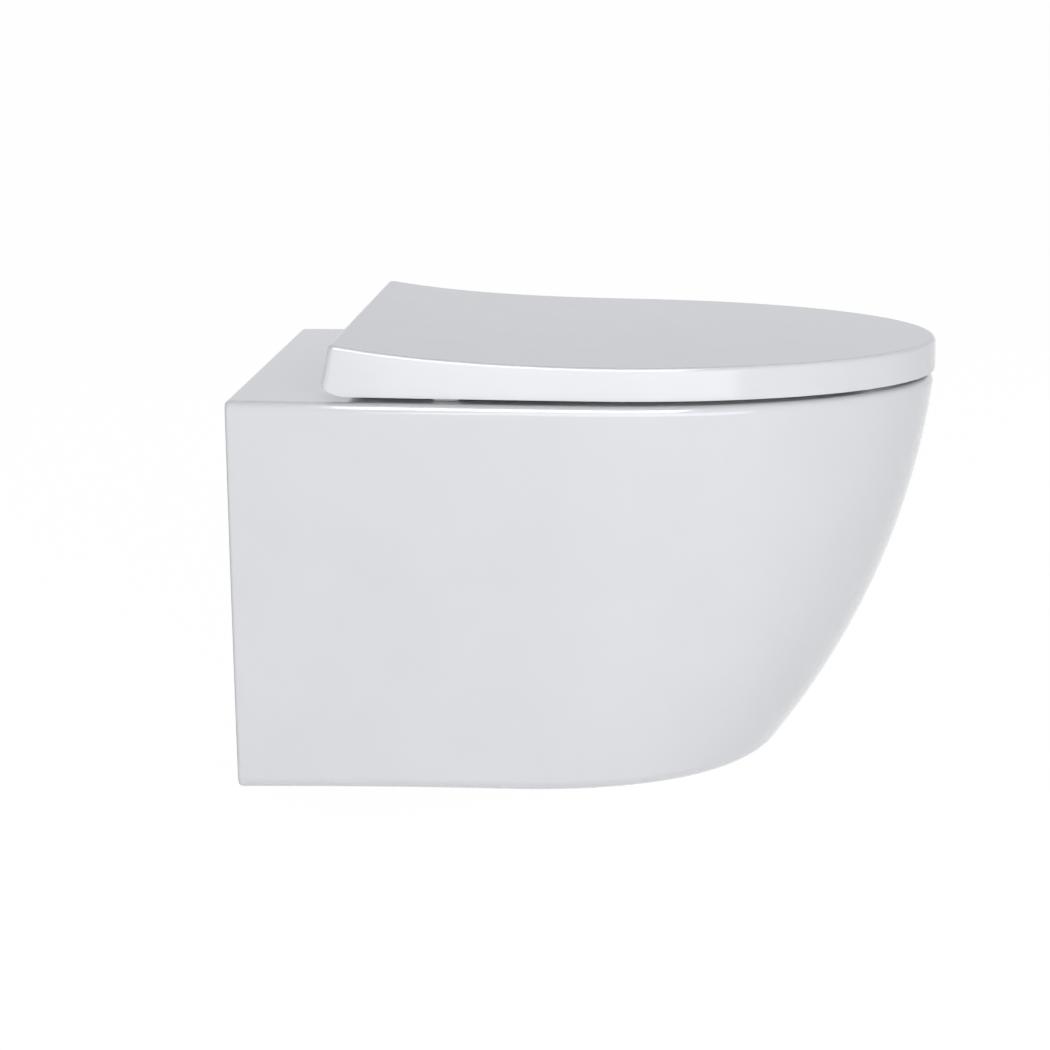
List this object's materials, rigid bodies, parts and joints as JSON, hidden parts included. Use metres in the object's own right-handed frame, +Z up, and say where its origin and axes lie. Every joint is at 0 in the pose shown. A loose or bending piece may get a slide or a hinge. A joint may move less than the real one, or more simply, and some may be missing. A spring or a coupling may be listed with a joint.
{
  "type": "wall hung toilet",
  "caption": "Wall hung toilet: skirted rimless ceramic pan with concealed fixings, soft-closing seat and slim wrap-over lid that lift off for cleaning.",
  "frame": {"origin": "midway between the two wall fixing holes, on the wall plane", "axes": "+Z up, +Y into the wall, front of the pan towards -Y, +X to the right of a person facing the wall"},
  "size_m": [0.3618, 0.5309, 0.3454],
  "materials": {
    "ceramic": "white glazed vitreous china, high gloss",
    "lid_white": "white urea duroplast, polished",
    "seat_white": "white urea duroplast, polished",
    "buffer_rubber": "pale grey soft rubber",
    "hinge_metal": "satin stainless steel",
    "barrel_metal": "satin chromed zinc",
    "button_metal": "bright chromed zinc",
    "damper_plastic": "dark grey moulded acetal",
    "sleeve_plastic": "natural moulded nylon",
    "plug_rubber": "black moulded rubber",
    "fixing_steel": "zinc plated steel",
    "spring_steel": "drawn spring steel"
  },
  "bodies": {
    "pan": {"ceramic_pan": "ceramic", "fixing_sleeves": "sleeve_plastic", "fixing_washers": "fixing_steel", "fixing_nuts": "fixing_steel", "flush_inlet_seal": "plug_rubber", "post_gasket_left": "plug_rubber", "post_gasket_right": "plug_rubber", "hinge_post_left": "hinge_metal", "hinge_post_right": "hinge_metal", "expansion_plug_left": "plug_rubber", "expansion_plug_right": "plug_rubber", "post_stud_left": "fixing_steel", "post_stud_right": "fixing_steel", "plug_nut_left": "fixing_steel", "plug_nut_right": "fixing_steel"},
    "hinge_unit": {"damper_barrel_left": "barrel_metal", "damper_barrel_right": "barrel_metal", "barrel_end_cap_left": "damper_plastic", "barrel_end_cap_right": "damper_plastic", "rotor_seal_left": "plug_rubber", "rotor_seal_right": "plug_rubber", "idle_pin_left": "hinge_metal", "idle_pin_right": "hinge_metal", "button_spring_left": "spring_steel", "button_spring_right": "spring_steel"},
    "lid": {"lid": "lid_white", "lid_buffers": "buffer_rubber", "lid_damper_rotor": "damper_plastic"},
    "seat": {"seat_ring": "seat_white", "seat_buffers": "buffer_rubber", "seat_damper_rotor": "damper_plastic"},
    "button_left": {"release_button_left": "button_metal"},
    "button_right": {"release_button_right": "button_metal"}
  },
  "joints": [
    {"name": "seat_lift_off", "type": "slide", "parent": "pan", "child": "hinge_unit", "axis": [0, 0, 1], "range_m": [0, 0.025]},
    {"name": "lid_hinge", "type": "hinge", "parent": "hinge_unit", "child": "lid", "pos_m": [0, -0.089, 0.0995], "axis": [-1, 0, 0], "range_deg": [0, 98]},
    {"name": "seat_hinge", "type": "hinge", "parent": "hinge_unit", "child": "seat", "pos_m": [0, -0.089, 0.0995], "axis": [-1, 0, 0], "range_deg": [0, 93.1]},
    {"name": "button_press_left", "type": "slide", "parent": "hinge_unit", "child": "button_left", "axis": [0, 0, -1], "range_m": [0, 0.002], "stiffness_N_per_m": 900, "springref_m": -0.002, "deforming": ["button_spring_left"]},
    {"name": "button_press_right", "type": "slide", "parent": "hinge_unit", "child": "button_right", "axis": [0, 0, -1], "range_m": [0, 0.002], "stiffness_N_per_m": 900, "springref_m": -0.002, "deforming": ["button_spring_right"]}
  ],
  "couplings": [
    {"joint": "seat_hinge", "follows": "lid_hinge", "ratio": 0.95}
  ]
}
